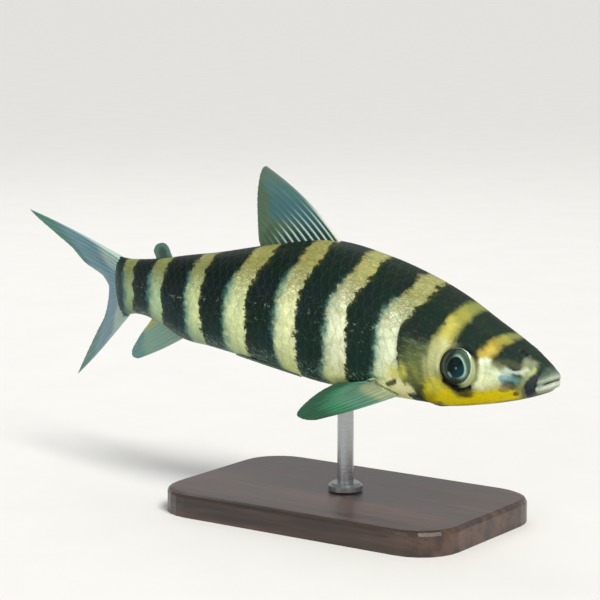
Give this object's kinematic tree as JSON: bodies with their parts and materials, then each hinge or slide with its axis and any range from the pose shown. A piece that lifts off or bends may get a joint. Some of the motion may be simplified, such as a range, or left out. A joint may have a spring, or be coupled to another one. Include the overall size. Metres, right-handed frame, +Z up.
{
  "type": "banded headstander fish",
  "caption": "Life-size still model of a slender, black and yellow banded freshwater fish, held above a plain flat base by a short rod.",
  "frame": {"origin": "centre of the stand's flat underside", "axes": "+X toward the fish's head along its length, +Y to the fish's left, +Z up"},
  "size_m": [0.1319, 0.038, 0.064],
  "materials": {
    "skin": "scaled skin in pale yellow and green-black bands, satin to glossy",
    "fin": "thin translucent grey-green membrane with pale rays",
    "eye": "clear glossy eye with a silver ring round a dark pupil",
    "stand_base": "dark stained hardwood, satin",
    "stand_rod": "brushed steel"
  },
  "bodies": {
    "root": {"head": "skin", "trunk": "skin", "tail": "skin", "eye_right": "eye", "eye_left": "eye", "dorsal_fin": "fin", "adipose_fin": "fin", "anal_fin": "fin", "caudal_fin_upper": "fin", "caudal_fin_lower": "fin", "pectoral_fin_right": "fin", "pectoral_fin_left": "fin", "pelvic_fin_right": "fin", "pelvic_fin_left": "fin", "stand_base": "stand_base", "stand_rod": "stand_rod"}
  },
  "joints": []
}
